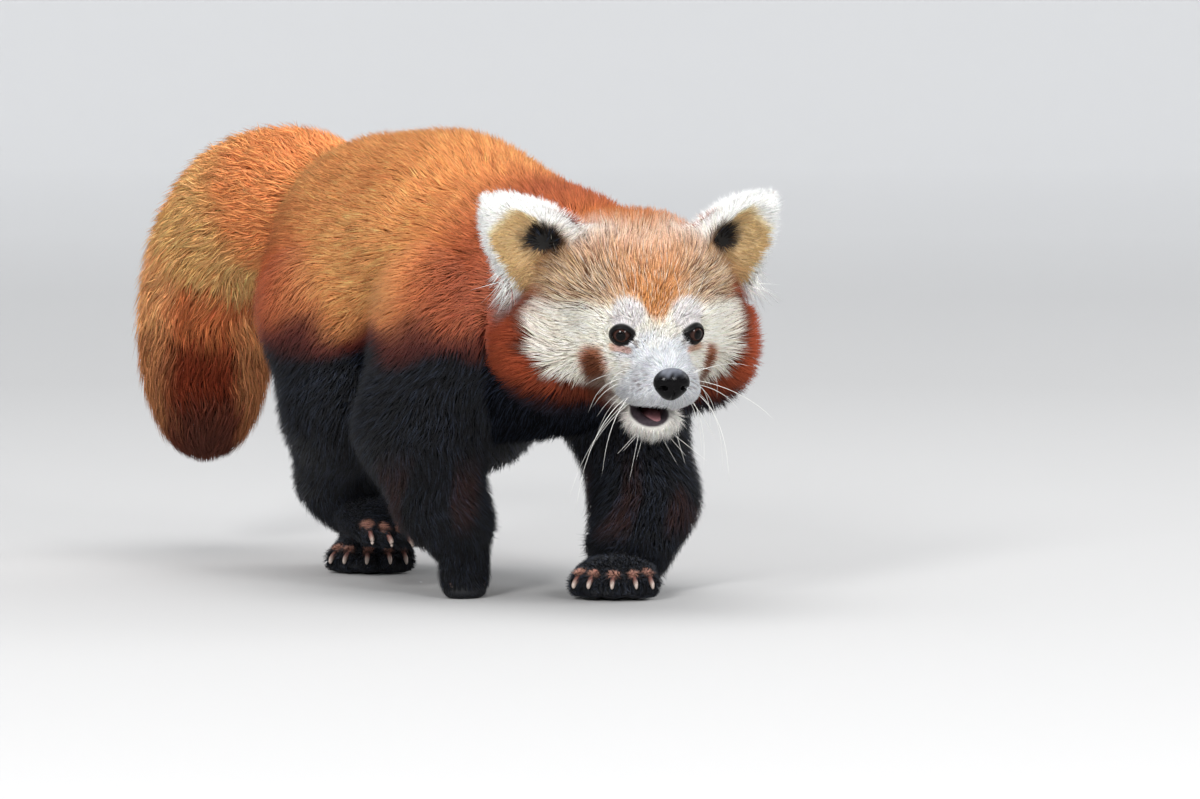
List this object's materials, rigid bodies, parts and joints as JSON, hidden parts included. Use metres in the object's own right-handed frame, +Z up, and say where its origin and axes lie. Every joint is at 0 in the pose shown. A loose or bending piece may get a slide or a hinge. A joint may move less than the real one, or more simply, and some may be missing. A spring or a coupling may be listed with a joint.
{
  "type": "red panda",
  "caption": "Life-size red panda in mid-stride, a fore foot on its toe tips, a hind foot raised and the head turned to its right.",
  "frame": {"origin": "middle of the underside of the bounding box, on the floor the feet stand on", "axes": "+Z up, -Y the way the animal walks, +X to the animal's left"},
  "size_m": [0.234, 0.6324, 0.304],
  "materials": {
    "red_coat": "dense fur, red-brown to golden orange",
    "face_coat": "short fur, cream and rust",
    "white_coat": "short white fur",
    "black_coat": "dense black fur",
    "dark_skin": "moist, satin",
    "pink_skin": "moist, satin",
    "eye_brown": "wet, glossy"
  },
  "bodies": {
    "root": {"torso": "red_coat", "neck": "red_coat", "tail_base": "red_coat", "tail_end": "red_coat", "head": "face_coat", "lower_jaw": "white_coat", "ear_left": "white_coat", "ear_right": "white_coat", "nose": "dark_skin", "tongue": "pink_skin", "eye_left": "eye_brown", "eye_right": "eye_brown", "upper_arm_left": "black_coat", "forearm_left": "black_coat", "fore_paw_left": "black_coat", "upper_arm_right": "black_coat", "forearm_right": "black_coat", "fore_paw_right": "black_coat", "thigh_left": "black_coat", "shank_left": "black_coat", "hind_paw_left": "black_coat", "thigh_right": "black_coat", "shank_right": "black_coat", "hind_paw_right": "black_coat"}
  },
  "joints": []
}
